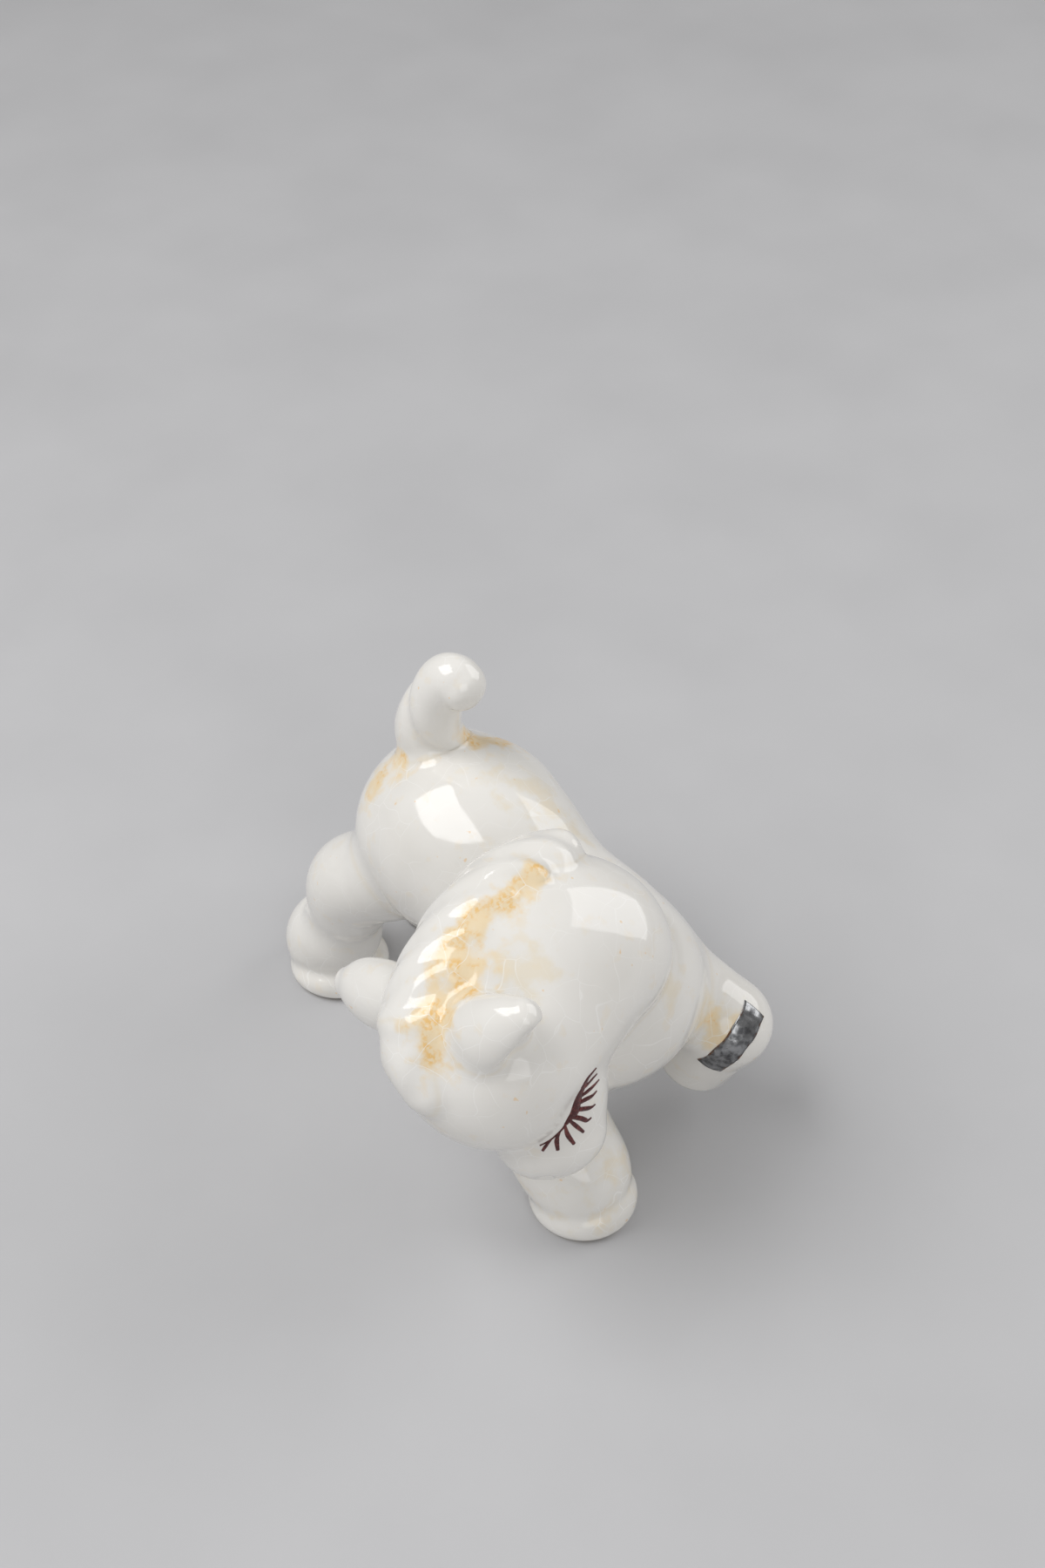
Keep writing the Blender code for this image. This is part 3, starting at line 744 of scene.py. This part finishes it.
# Trails of places, then a reach and a strength.
OCHRE_TRAILS = (
    ((-0.0172, -0.0467, 0.0888), (-0.0235, -0.0469, 0.0869), (-0.0285, -0.0467, 0.0864),
     (-0.0339, -0.0466, 0.0865), (-0.0423, -0.0489, 0.0828), 0.0034, 0.95),
    ((-0.0385, -0.0500, 0.0835), (-0.0397, -0.0525, 0.0815), (-0.0444, -0.0541, 0.0785),
     (-0.0498, -0.0531, 0.0779), (-0.0504, -0.0562, 0.0724), 0.0052, 0.95),
    ((0.0060, 0.0020, 0.0775), (0.0120, -0.0005, 0.0735), 0.0042, 0.90),
    ((-0.0085, 0.0080, 0.0740), (-0.0135, 0.0115, 0.0680), 0.0042, 0.75),
    ((0.0145, -0.0640, 0.0385), (0.0172, -0.0668, 0.0345), 0.0040, 0.66),
)
CREAM_TRAILS = (
    ((-0.0319, -0.0595, 0.0814), (-0.0280, -0.0600, 0.0815), 0.0050, 0.80),
    ((0.0071, -0.0243, 0.0707), (0.0060, -0.0150, 0.0740), 0.0080, 0.60),
    ((0.0140, -0.0630, 0.0395), (0.0175, -0.0665, 0.0345), 0.0052, 1.00),
    ((0.0000, -0.0640, 0.0590), (0.0027, -0.0645, 0.0571), 0.0040, 0.80),
    ((-0.0165, -0.0560, 0.0180), (-0.0165, -0.0610, 0.0060), 0.0120, 0.75),
)


def seep(points, trails):
    """How strongly a colour has seeped in at each point."""
    amount = np.zeros(len(points))
    for *places, reach, strength in trails:
        places = np.array(places) + FIGURE_SHIFT
        for start, end in zip(places, places[1:]):
            step = end - start
            share = np.clip((points - start) @ step / step.dot(step), 0.0, 1.0)
            gap = np.linalg.norm(points - start - share[:, None] * step, axis=1)
            amount = np.maximum(amount, strength * np.exp(-(gap / reach) ** 2))
    return amount


def feed(tree, node, feeds):
    """Feed a node's inputs from numbers, colours or other nodes' outputs."""
    for name, value in feeds.items():
        if isinstance(value, bpy.types.NodeSocket):
            tree.links.new(value, node.inputs[name])
        else:
            node.inputs[name].default_value = value


def add_node(tree, kind, feeds=None, **settings):
    """Add a node, set it up and feed its inputs."""
    node = tree.nodes.new(kind)
    for name, value in settings.items():
        setattr(node, name, value)
    feed(tree, node, feeds or {})
    return node


def noise(tree, size, detail=2.0):
    """A cloudy value whose spots are about `size` metres across."""
    place = add_node(tree, "ShaderNodeTexCoord").outputs["Object"]
    feeds = {"Vector": place, "Scale": 1.0 / size, "Detail": detail}
    return add_node(tree, "ShaderNodeTexNoise", feeds).outputs["Fac"]


def ramp(tree, value, low, high, bottom=0.0, top=1.0):
    """Take a value smoothly from `bottom` to `top` as it goes from `low` to `high`."""
    feeds = {"Value": value, "From Min": low, "From Max": high, "To Min": bottom, "To Max": top}
    return add_node(tree, "ShaderNodeMapRange", feeds, interpolation_type="SMOOTHSTEP").outputs["Result"]


def times(tree, first, second):
    """The product of two values."""
    return add_node(tree, "ShaderNodeMath", {0: first, 1: second}, operation="MULTIPLY").outputs[0]


def tint(tree, share, under, over):
    """Lay one colour over another by a share."""
    return add_node(tree, "ShaderNodeMix", {0: share, 6: under, 7: over}, data_type="RGBA").outputs[2]


def bump(tree, strength, distance, height):
    """The skin's way where a value lifts it."""
    feeds = {"Strength": strength, "Distance": distance, "Height": height}
    return add_node(tree, "ShaderNodeBump", feeds).outputs["Normal"]


def value_group(name, inputs, outputs):
    """An empty shader group with named number inputs and outputs."""
    group = bpy.data.node_groups.new(name, "ShaderNodeTree")
    for label, start in inputs:
        group.interface.new_socket(label, in_out="INPUT", socket_type="NodeSocketFloat").default_value = start
    for label in outputs:
        group.interface.new_socket(label, in_out="OUTPUT", socket_type="NodeSocketFloat")
    return group, group.nodes.new("NodeGroupInput").outputs


crazing, craze_in = value_group("crazing", (("Cell", 0.008), ("Width", 0.0001)), ("Crack",))
craze_place = add_node(crazing, "ShaderNodeTexCoord").outputs["Object"]
craze_drift = add_node(crazing, "ShaderNodeTexNoise",
                       {"Vector": craze_place, "Scale": CRACK_BENDS, "Detail": 1.0})
craze_drift = add_node(crazing, "ShaderNodeVectorMath",
                       {0: craze_drift.outputs["Color"], "Scale": CRACK_DRIFT}, operation="SCALE").outputs[0]
craze_place = add_node(crazing, "ShaderNodeVectorMath", {0: craze_place, 1: craze_drift}).outputs[0]
craze_scale = add_node(crazing, "ShaderNodeMath", {0: 1.0, 1: craze_in["Cell"]},
                       operation="DIVIDE").outputs[0]
craze_net = add_node(crazing, "ShaderNodeTexVoronoi", {"Vector": craze_place, "Scale": craze_scale},
                     feature="DISTANCE_TO_EDGE").outputs["Distance"]
craze_reach = times(crazing, craze_scale, craze_in["Width"])
craze_line = ramp(crazing, craze_net, 0.0, craze_reach, 1.0, 0.0)
craze_fade = ramp(crazing, noise(crazing, CRACK_PATCH), 0.36, 0.62)
add_node(crazing, "NodeGroupOutput", {"Crack": times(crazing, craze_line, craze_fade)})

seepage, seep_in = value_group("seepage", (("Amount", 0.0),), ("Wash", "Spots"))
seep_cloud = ramp(seepage, noise(seepage, SEEP_CLOUD, 4.0), 0.30, 0.70, -0.36, 0.30)
seep_edge = add_node(seepage, "ShaderNodeMath", {0: seep_in["Amount"], 1: seep_cloud}).outputs[0]
seep_wash = ramp(seepage, seep_edge, 0.15, 0.80)
seep_grain = ramp(seepage, noise(seepage, SEEP_GRAIN, 5.0), 0.40, 0.62)
seep_grain = times(seepage, seep_grain, ramp(seepage, seep_edge, 0.35, 0.95))
seep_spots = times(seepage, seep_grain, ramp(seepage, noise(seepage, SEEP_PATCH), 0.40, 0.58))
add_node(seepage, "NodeGroupOutput", {"Wash": seep_wash, "Spots": seep_spots})


def finish(name):
    """A new material with its tree and its shader."""
    made = bpy.data.materials.new(name)
    made.use_nodes = True
    return made, made.node_tree, made.node_tree.nodes["Principled BSDF"]


glaze, tree, coat = finish("white_glaze")
cracks = add_node(tree, "ShaderNodeGroup", node_tree=crazing)
cracks.inputs["Cell"].default_value = CRACK_CELL
cracks.inputs["Width"].default_value = CRACK_WIDTH
marks = {name: add_node(tree, "ShaderNodeAttribute", attribute_name=name).outputs["Fac"]
         for name in ("joint", "ochre", "cream")}
ochre = add_node(tree, "ShaderNodeGroup", node_tree=seepage)
cream = add_node(tree, "ShaderNodeGroup", node_tree=seepage)
feed(tree, ochre, {"Amount": marks["ochre"]})
feed(tree, cream, {"Amount": marks["cream"]})
colour = tint(tree, ramp(tree, noise(tree, GLAZE_CLOUD), 0.35, 0.70), GLAZE_WHITE, GLAZE_SHADE)
stains = (
    (ramp(tree, marks["joint"], 0.45, 1.0), 0.35, SEEP_CREAM),
    (cream.outputs["Wash"], 0.75, SEEP_CREAM),
    (ochre.outputs["Wash"], 0.85, OCHRE_WASH),
    (ochre.outputs["Spots"], 0.75, OCHRE_SPOT),
    (cracks.outputs["Crack"], 0.70, CRACK_WHITE),
    (ramp(tree, noise(tree, SPECK_SIZE, 1.0), 0.765, 0.80), 0.45, OCHRE_SPOT),
)
for share, strength, stain in stains:
    colour = tint(tree, times(tree, share, strength), colour, stain)
height = add_node(tree, "ShaderNodeSeparateXYZ",
                  {0: add_node(tree, "ShaderNodeTexCoord").outputs["Object"]}).outputs["Z"]
bare = ramp(tree, height, *SOLE_EDGE, 1.0, 0.0)
clay_grain = noise(tree, CLAY_GRAIN, 3.0)
colour = tint(tree, bare, colour, BARE_CLAY)
gloss = ramp(tree, noise(tree, GLOSS_CLOUD, 3.0), 0.30, 0.75, *GLOSS_RANGE)
gloss = add_node(tree, "ShaderNodeMath", {0: gloss, 1: times(tree, bare, CLAY_ROUGHNESS)}).outputs[0]
grit = times(tree, clay_grain, times(tree, bare, 0.4))
lumps = add_node(tree, "ShaderNodeMath", {0: noise(tree, GLAZE_LUMP, 1.0), 1: grit})
relief = bump(tree, 0.22, 0.0006, lumps.outputs[0])
feed(tree, coat, {"Base Color": colour, "Roughness": gloss, "Normal": relief})
for name in names:
    mesh = castings[name][0].data
    places, _ = mesh_parts(mesh)
    mark_points(mesh, "ochre", seep(places, OCHRE_TRAILS))
    mark_points(mesh, "cream", seep(places, CREAM_TRAILS))
    mesh.materials.append(glaze)

# Lashes: a fan of maroon strokes painted by hand under each closed lid, thick at the lid and thin at the
# tips. The paint lies on the fired glaze and stands a little proud of it.
MILLIMETRE = 0.001
# Rows along each stroke, in millimetres: a place in the head's axes and the stroke's width there.
LASHES = (
    ((34.0, -24.7, 11.0, 0.30), (34.9, -25.7, 9.9, 0.75), (35.6, -26.7, 9.0, 0.62)),
    ((32.2, -23.6, 12.3, 0.40), (33.0, -25.2, 11.3, 1.00), (33.2, -27.7, 10.4, 0.80)),
    ((31.1, -22.8, 13.0, 0.50), (30.9, -25.2, 12.2, 1.00), (30.0, -28.0, 11.6, 0.80)),
    ((30.1, -22.1, 13.5, 0.60), (29.0, -24.1, 13.1, 0.92), (27.5, -26.6, 12.3, 0.70)),
    ((29.6, -21.5, 13.8, 1.00), (27.6, -23.2, 13.5, 1.05),
     (26.2, -24.6, 13.0, 0.95), (25.1, -24.6, 12.8, 0.30)),
    ((28.5, -20.5, 14.2, 1.00), (26.6, -21.5, 14.0, 1.05),
     (24.8, -22.4, 13.6, 0.85), (23.5, -22.5, 13.3, 0.30)),
    ((27.9, -19.6, 14.6, 0.90), (25.9, -19.8, 14.5, 1.10),
     (23.9, -20.2, 14.1, 0.90), (22.4, -20.0, 13.7, 0.30)),
    ((27.4, -18.4, 15.1, 0.80), (25.3, -18.4, 14.9, 1.10),
     (23.2, -18.4, 14.5, 0.90), (21.1, -18.2, 13.9, 0.30)),
    ((27.0, -17.0, 16.1, 0.80), (25.1, -16.7, 15.9, 1.15),
     (23.3, -16.5, 15.5, 0.95), (21.7, -16.3, 15.1, 0.35)),
    ((26.9, -16.2, 16.7, 0.80), (25.5, -15.2, 17.2, 1.15),
     (23.7, -14.8, 16.9, 0.95), (22.2, -14.4, 16.6, 0.35)),
    ((35.9, -25.2, 9.4, 0.30), (34.0, -24.6, 11.0, 0.36), (32.9, -24.0, 11.9, 0.40),
     (31.7, -23.3, 12.6, 0.50), (30.7, -22.4, 13.2, 0.70)),
)
LID_WEDGE = ((31.1, -22.8, 13.0, 0.80), (30.0, -21.9, 13.6, 1.50), (28.7, -21.0, 14.1, 2.20),
             (27.8, -19.2, 14.8, 2.30), (26.9, -17.5, 15.7, 2.30), (25.7, -16.0, 16.7, 1.90),
             (24.2, -14.9, 16.9, 1.10))
LASH_RADIUS = 0.0010
LASH_PROUD = 0.00020
LID_ROUND = 0.0022
LASH_TIP = 0.95
LASH_TAPER = 5.0
LASH_STEPS = 8
BRISTLE_SIDES = 28
LASH_DARK = (0.060, 0.007, 0.007, 1.0)
LASH_LIGHT = (0.150, 0.022, 0.018, 1.0)

lash_paint, tree, paint = finish("maroon_lash_paint")
streak = noise(tree, 0.0008, 3.0)
feed(tree, paint, {
    "Base Color": tint(tree, ramp(tree, streak, 0.45, 0.75), LASH_DARK, LASH_LIGHT),
    "Roughness": ramp(tree, streak, 0.3, 0.7, 0.16, 0.34),
    "Normal": bump(tree, 0.3, 0.0002, streak),
})

strokes = bpy.data.node_groups.new("lash_strokes", "GeometryNodeTree")
STROKE_INPUTS = {"Guides": "Geometry", "Stroke radius": "Float", "Tip share": "Float", "Paint": "Material"}
for socket, kind in STROKE_INPUTS.items():
    strokes.interface.new_socket(socket, in_out="INPUT", socket_type="NodeSocket" + kind)
strokes.interface.new_socket("Strokes", in_out="OUTPUT", socket_type="NodeSocketGeometry")
stroke_in = strokes.nodes.new("NodeGroupInput").outputs
guide = add_node(strokes, "GeometryNodeMeshToCurve", {"Mesh": stroke_in["Guides"]}).outputs[0]
along_stroke = strokes.nodes.new("GeometryNodeSplineParameter").outputs["Factor"]
along_stroke = add_node(strokes, "ShaderNodeMath", {0: along_stroke, 1: LASH_TAPER},
                        operation="POWER").outputs[0]
taper = add_node(strokes, "ShaderNodeMapRange",
                 {"Value": along_stroke, "To Min": 1.0, "To Max": stroke_in["Tip share"]})
weight = add_node(strokes, "GeometryNodeInputNamedAttribute", {"Name": "stroke_weight"}, data_type="FLOAT")
thick = times(strokes, taper.outputs[0], weight.outputs[0])
bristle = add_node(strokes, "GeometryNodeCurvePrimitiveCircle",
                   {"Resolution": BRISTLE_SIDES, "Radius": stroke_in["Stroke radius"]})
tube = add_node(strokes, "GeometryNodeCurveToMesh", {"Curve": guide, "Profile Curve": bristle.outputs[0],
                                                     "Scale": thick, "Fill Caps": True}).outputs[0]
tube = add_node(strokes, "GeometryNodeRealizeInstances", {"Geometry": tube}).outputs[0]
tube = add_node(strokes, "GeometryNodeSetMaterial",
                {"Geometry": tube, "Material": stroke_in["Paint"]}).outputs[0]
add_node(strokes, "NodeGroupOutput", {"Strokes": tube})
stroke_keys = {item.name: item.identifier for item in strokes.interface.items_tree if item.in_out == "INPUT"}

face = casting_skin("head_neck_casting")


def on_face(right, up, left, depth):
    """A place in the head's axes, in millimetres, brought to the face and sunk in by a depth in metres."""
    place = head_point(MILLIMETRE * right, MILLIMETRE * up, MILLIMETRE * left) + FIGURE_SHIFT
    place = face[0].find_nearest(Vector(place))[0]
    return place - skin_side(face, place, True)[1].normalized() * depth


for lash_name, sign in (("left_lashes", 1.0), ("right_lashes", -1.0)):
    places, edges, weights = [], [], []
    for stroke in (*LASHES, LID_WEDGE):
        start = len(places)
        for right, up, left, width in smooth_rows(stroke, LASH_STEPS):
            half = 0.5 * MILLIMETRE * width
            radius, depth = LID_ROUND, math.sqrt(LID_ROUND ** 2 - half ** 2)
            if stroke is not LID_WEDGE:
                radius = 0.5 * (half ** 2 + LASH_PROUD ** 2) / LASH_PROUD
                depth = radius - LASH_PROUD
            places.append(on_face(right, up, sign * left, depth))
            weights.append(radius / LASH_RADIUS)
        edges += [(step, step + 1) for step in range(start, len(places) - 1)]
    guide_mesh = bpy.data.meshes.new(lash_name + "_guides")
    guide_mesh.from_pydata(places, edges, [])
    mark_points(guide_mesh, "stroke_weight", np.array(weights))
    guide_object = set_out(lash_name + "_guides", guide_mesh)
    brush = guide_object.modifiers.new("strokes", "NODES")
    brush.node_group = strokes
    brush[stroke_keys["Stroke radius"]] = LASH_RADIUS
    brush[stroke_keys["Tip share"]] = LASH_TIP
    brush[stroke_keys["Paint"]] = lash_paint
    painted = worked_mesh(guide_object)
    painted.name = lash_name
    painted.shade_smooth()
    lashes = set_out(lash_name, painted)
    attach(lashes, "root")

# Foil label: a narrow strip of silvered foil, left blank, with brown glue along its edges. Its patchy greys
# are painted darker than silver, in place of the foil's dark reflections (painted reflection).
# It starts on top of the lifted knee, runs down the near side, and is stuck on the glaze.
LABEL_WIDTH = 0.0057
LABEL_PAST_KNEE = 0.0003
LABEL_SLANT = 0.0009
LABEL_START = math.radians(6.0)
LABEL_END = math.radians(122.0)
LABEL_THICK = 0.00012
LABEL_LIFT = 0.00010
LABEL_WANDER = 0.00012
LABEL_CRINKLE = 0.00004
LABEL_PROBE = 0.03
LABEL_ROWS = 9
LABEL_COLUMNS = 97
# Foil greys darker than silver: painted reflection, standing in for the dark surroundings the foil reflects.
FOIL_LIGHT = (0.330, 0.334, 0.342, 1.0)
FOIL_DARK_REFLECTION = (0.090, 0.091, 0.095, 1.0)
GLUE_BROWN = (0.240, 0.110, 0.050, 1.0)

leg_tree = casting_skin("left_foreleg")[0]
elbow, knee = np.array(FOREARM[0][:3]), np.array(FOREARM[-1][:3])
forearm_way = (knee - elbow) / np.linalg.norm(knee - elbow)
over = np.array((0.0, 0.0, 1.0)) - forearm_way * forearm_way[2]
over /= np.linalg.norm(over)
beside = np.cross(forearm_way, over)
label_points, row_marks = [], []
for row in np.linspace(-0.5, 0.5, LABEL_ROWS):
    for turn in np.linspace(LABEL_START, LABEL_END, LABEL_COLUMNS):
        wander = LABEL_WANDER * math.sin(9.0 * turn + 4.0 * row) * abs(row) * 2.0
        past_knee = LABEL_PAST_KNEE + LABEL_SLANT * (turn - LABEL_START) + row * LABEL_WIDTH + wander
        centre = knee + forearm_way * past_knee + FIGURE_SHIFT
        outward = over * math.cos(turn) + beside * math.sin(turn)
        place, normal, _, _ = leg_tree.ray_cast(Vector(centre + outward * LABEL_PROBE), Vector(-outward))
        crinkle = LABEL_CRINKLE * math.sin(23.0 * turn + 6.0 * row) * math.sin(11.0 * turn - 3.0 * row)
        label_points.append(place + normal * (LABEL_LIFT + crinkle))
        row_marks.append(2.0 * abs(row))
label_faces = []
for row in range(LABEL_ROWS - 1):
    for step in range(LABEL_COLUMNS - 1):
        start = row * LABEL_COLUMNS + step
        label_faces.append((start, start + 1, start + LABEL_COLUMNS + 1, start + LABEL_COLUMNS))
label = wet_clay("foil_band", label_points, label_faces)
sheet = label.modifiers.new("foil", "SOLIDIFY")
sheet.thickness = LABEL_THICK
sheet.offset = -1.0
label_points, label_faces = mesh_parts(worked_mesh(label))
label = wet_clay("foil_band", label_points, label_faces)
mark_points(label.data, "edge", np.tile(row_marks, 2))
foil, tree, metal = finish("silver_foil")
foil_patches = noise(tree, 0.0016, 4.0)
edge_mark = add_node(tree, "ShaderNodeAttribute", attribute_name="edge").outputs["Fac"]
# Painted reflection: the patch noise lays the foil's colour between two dark greys, in place of dark
# reflections.
colour = tint(tree, ramp(tree, foil_patches, 0.35, 0.70), FOIL_LIGHT, FOIL_DARK_REFLECTION)
glue = times(tree, ramp(tree, edge_mark, 0.80, 1.0), ramp(tree, foil_patches, 0.48, 0.60))
colour = tint(tree, glue, colour, GLUE_BROWN)
feed(tree, metal, {
    "Base Color": colour,
    "Metallic": 1.0,
    "Roughness": ramp(tree, foil_patches, 0.3, 0.7, 0.20, 0.42),
    "Normal": bump(tree, 0.35, 0.0003, noise(tree, 0.0022, 3.0)),
})
label.data.materials.append(foil)
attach(label, "root")
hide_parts("foil_label")

# Studio: a pale matte table top, one large soft lamp overhead and two weaker ones at the sides.
# The camera looks down on the foal's face from its right front.
TABLE_CORNERS = [(-2, -2, 0), (2, -2, 0), (2, 2, 0), (-2, 2, 0)]
TABLE_DARK = (0.46, 0.46, 0.47, 1.0)
TABLE_PALE = (0.52, 0.52, 0.53, 1.0)
ROOM_WHITE = (1.0, 0.99, 0.98, 1.0)
ROOM_LIGHT = 0.30
LAMP_SIZE = 0.80
LAMP_AIM = Vector((0.0, 0.0, 0.05))
LENS_LENGTH = 50.0
SENSOR_WIDTH = 36.0
table_mesh = bpy.data.meshes.new("table_top")
table_mesh.from_pydata(TABLE_CORNERS, [], [(0, 1, 2, 3)])
table = set_out("table_top", table_mesh)
table_paint, tree, matte = finish("table_paint")
table_cloud = noise(tree, 0.05, 5.0)
feed(tree, matte, {
    "Base Color": tint(tree, table_cloud, TABLE_DARK, TABLE_PALE),
    "Roughness": ramp(tree, table_cloud, 0.3, 0.7, 0.62, 0.78),
})
table_mesh.materials.append(table_paint)

world = bpy.data.worlds.new("studio")
world.use_nodes = True
feed(world.node_tree, world.node_tree.nodes["Background"], {"Color": ROOM_WHITE, "Strength": ROOM_LIGHT})
bpy.context.scene.world = world


def soft_lamp(name, place, power):
    """A square lamp that faces the figure."""
    lamp = bpy.data.lights.new(name, "AREA")
    lamp.shape = "SQUARE"
    lamp.size = LAMP_SIZE
    lamp.energy = power
    stand = set_out(name, lamp)
    stand.location = place
    stand.rotation_euler = (LAMP_AIM - Vector(place)).to_track_quat("-Z", "Y").to_euler()


soft_lamp("key_lamp", (-0.55, 0.35, 1.00), 10.0)
soft_lamp("side_lamp", (0.90, -0.30, 0.60), 4.5)
soft_lamp("front_lamp", (-0.45, -1.00, 0.55), 3.5)

CAMERA_PLACE = Vector((-0.2074, -0.2686, 0.3850)) + Vector(FIGURE_SHIFT)
CAMERA_WAY = Vector((0.470, 0.560, -0.682))
lens = bpy.data.cameras.new("camera")
lens.lens = LENS_LENGTH
lens.sensor_width = SENSOR_WIDTH
camera = set_out("camera", lens)
camera.location = CAMERA_PLACE
camera.rotation_euler = CAMERA_WAY.to_track_quat("-Z", "Y").to_euler()
bpy.context.scene.camera = camera
bpy.context.scene.view_settings.view_transform = "Standard"
